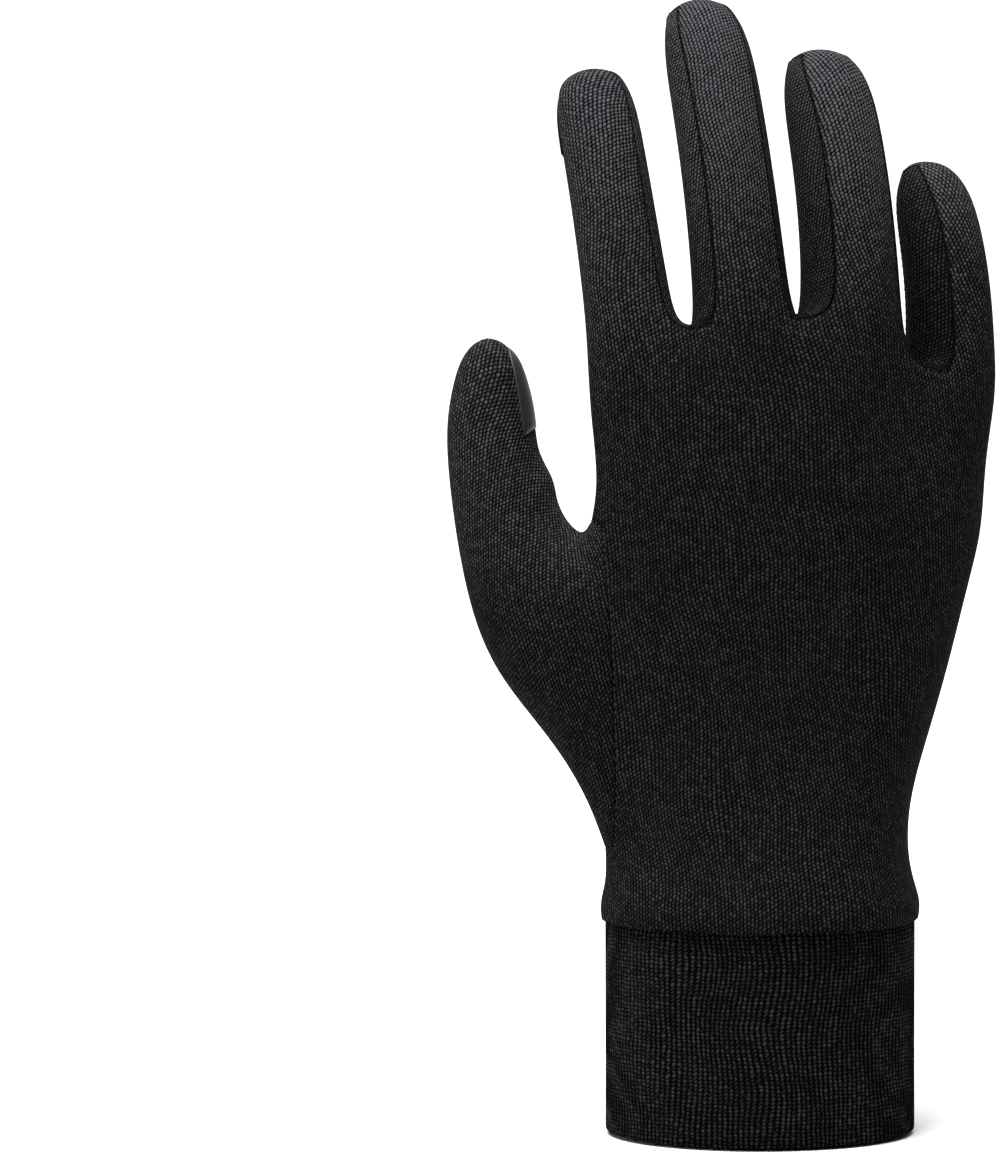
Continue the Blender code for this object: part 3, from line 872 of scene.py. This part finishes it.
def fit_pad(bm, node, film):
    """Rounds off the upper border of a pad, and lays it close on the cloth, closest along its edge."""
    low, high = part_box(node)
    outer, inner = groups(bm, is_rim)[:2]
    rim = {}
    for group in (outer, inner):
        inside = set(group)
        for edge in dict.fromkeys(edge for face in group for edge in face.edges):
            if sum(face in inside for face in edge.link_faces) == 1:
                for vert in edge.verts:
                    rim.setdefault(vert, []).append(edge.other_vert(vert))
    for _ in range(PAD_EVENINGS):
        even = {}
        for vert, ends in rim.items():
            if len(ends) == 2 and vert.co.z > (low[2] + high[2]) / 2:
                even[vert] = vert.co.lerp((ends[0].co + ends[1].co) / 2, 0.5)
        for vert, place in even.items():
            vert.co = place
    middle = [vert for vert in bm.verts if vert not in rim]
    for _ in range(PAD_SMOOTHINGS):
        bmesh.ops.smooth_vert(
            bm, verts=middle, factor=0.5, use_axis_x=True, use_axis_y=True, use_axis_z=True
        )
    cloth = merged_copy("thumb" if node.endswith("thumb") else "trank")
    skin = groups(cloth, is_rim)[0]
    tree = BVHTree.FromPolygons(
        [vert.co for vert in cloth.verts], [[vert.index for vert in face.verts] for face in skin]
    )
    for group, rise in ((outer, film), (inner, film * PAD_INNER)):
        for vert in dict.fromkeys(vert for face in group for vert in face.verts):
            place, normal, _, _ = tree.find_nearest(vert.co)
            vert.co = place + normal * rise * (PAD_RIM if vert in rim else 1.0)
    cloth.free()


class GLOVE_OT_pads(bpy.types.Operator):
    """Makes the touch pads on the index finger and the thumb"""

    bl_idname = "glove.pads"
    bl_label = "Touch pads"

    def execute(self, context):
        trim = context.scene.glove_trim
        for node in ("touch_pad_index", "touch_pad_thumb"):
            bm = merged_copy(node)
            crease_rims(bm)
            fit_pad(bm, node, trim.film_rise)
            film = film_material(node + "_film", trim.film, rough=0.42, specular=0.25, depth=0.00004)
            piece = new_piece(node + "_film", bm, film, [node])
            subdivide(piece)
        return {"FINISHED"}


class GLOVE_OT_tab(bpy.types.Operator):
    """Makes the pull tab at the hem"""

    bl_idname = "glove.tab"
    bl_label = "Pull tab"

    def execute(self, context):
        trim = context.scene.glove_trim
        bm = merged_copy("pull_tab")
        edges = [edge for edge in bm.edges if is_rim(edge)]
        bmesh.ops.bevel(bm, geom=edges, offset=0.00025, segments=2, profile=0.5, affect="EDGES", material=-1)
        rubber = film_material("pull_tab_rubber", trim.tab, rough=0.60, specular=0.12, depth=0.00030)
        new_piece("pull_tab_rubber", bm, rubber, ["pull_tab"])
        return {"FINISHED"}


class GLOVE_PT_pieces(bpy.types.Panel):
    """Lists what makes the glove's pieces"""

    bl_idname = "GLOVE_PT_pieces"
    bl_label = "Glove liner"
    bl_space_type = "VIEW_3D"
    bl_region_type = "UI"
    bl_category = "Glove"

    def draw(self, context):
        for name in STEPS:
            self.layout.operator("glove." + name)
        for name in SETTINGS:
            group = getattr(context.scene, name)
            for key in group.bl_rna.properties.keys():
                if key not in ("rna_type", "name"):
                    self.layout.prop(group, key)


STEPS = ("stage", "panels", "cuff", "seams", "pads", "tab")
SETTINGS = {
    "glove_knit": GloveKnit,
    "glove_cuff": GloveCuff,
    "glove_seams": GloveSeams,
    "glove_trim": GloveTrim,
}
OPERATORS = (GLOVE_OT_stage, GLOVE_OT_panels, GLOVE_OT_cuff, GLOVE_OT_seams, GLOVE_OT_pads, GLOVE_OT_tab)


def register():
    for kind in (*SETTINGS.values(), *OPERATORS, GLOVE_PT_pieces):
        bpy.utils.register_class(kind)
    for name, kind in SETTINGS.items():
        setattr(bpy.types.Scene, name, PointerProperty(type=kind))


def unregister():
    for name in SETTINGS:
        delattr(bpy.types.Scene, name)
    for kind in reversed((*SETTINGS.values(), *OPERATORS, GLOVE_PT_pieces)):
        bpy.utils.unregister_class(kind)


def main():
    register()
    for name in STEPS:
        getattr(bpy.ops.glove, name)()


if __name__ == "__main__":
    main()
